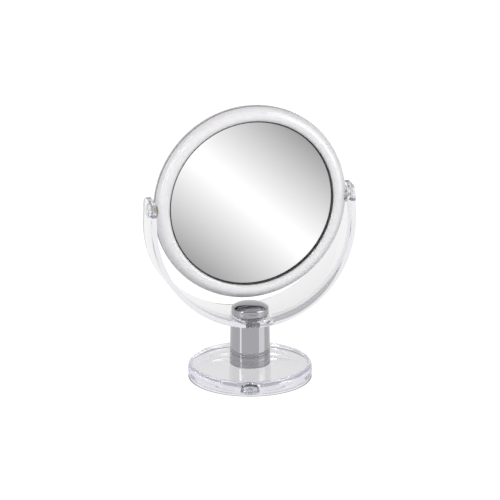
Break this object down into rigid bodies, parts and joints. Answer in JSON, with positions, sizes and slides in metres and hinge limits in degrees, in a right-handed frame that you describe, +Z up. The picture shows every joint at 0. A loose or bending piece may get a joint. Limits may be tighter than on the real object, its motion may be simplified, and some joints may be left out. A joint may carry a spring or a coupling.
{
  "type": "countertop mirror",
  "caption": "Round two-sided countertop mirror in a pale ring frame, tilting in a clear yoke on a chrome column and clear round base.",
  "frame": {"origin": "centre of the base's underside, on the column's axis", "axes": "+Z up; +X along the tilt axis; the plain mirror faces -Y at rest"},
  "size_m": [0.1934, 0.1142, 0.2566],
  "materials": {
    "clear_acrylic": "polished, clear",
    "pearl_acrylic": "polished, milky clear",
    "chrome": "polished",
    "silvered_glass": "mirror",
    "zinc_steel": "zinc plated",
    "brass": "turned",
    "white_nylon": "moulded",
    "grey_plastic": "moulded"
  },
  "bodies": {
    "stand": {"base_disc": "clear_acrylic", "column_sleeve": "chrome", "column_core": "grey_plastic", "centre_bolt": "zinc_steel", "bolt_washer": "zinc_steel", "swivel_bush": "white_nylon", "friction_spring": "zinc_steel", "cap_insert": "brass", "top_cap": "chrome"},
    "yoke": {"yoke": "clear_acrylic", "pivot_bush_left": "clear_acrylic", "pivot_bush_right": "clear_acrylic", "pivot_cover_left": "clear_acrylic", "pivot_cover_right": "clear_acrylic"},
    "head": {"front_ring": "pearl_acrylic", "rear_ring": "pearl_acrylic", "plain_mirror": "silvered_glass", "magnifying_mirror": "silvered_glass", "mirror_spacer": "white_nylon", "pivot_insert_left": "brass", "pivot_insert_right": "brass", "pivot_screw_left": "zinc_steel", "pivot_screw_right": "zinc_steel", "pivot_spring_left": "zinc_steel", "pivot_spring_right": "zinc_steel"}
  },
  "joints": [
    {"name": "yoke_swivel", "type": "hinge", "parent": "stand", "child": "yoke", "pos_m": [0, 0, 0.0576], "axis": [0, 0, 1], "continuous": true},
    {"name": "head_tilt", "type": "hinge", "parent": "yoke", "child": "head", "pos_m": [0, 0, 0.1664], "axis": [1, 0, 0], "continuous": true}
  ]
}
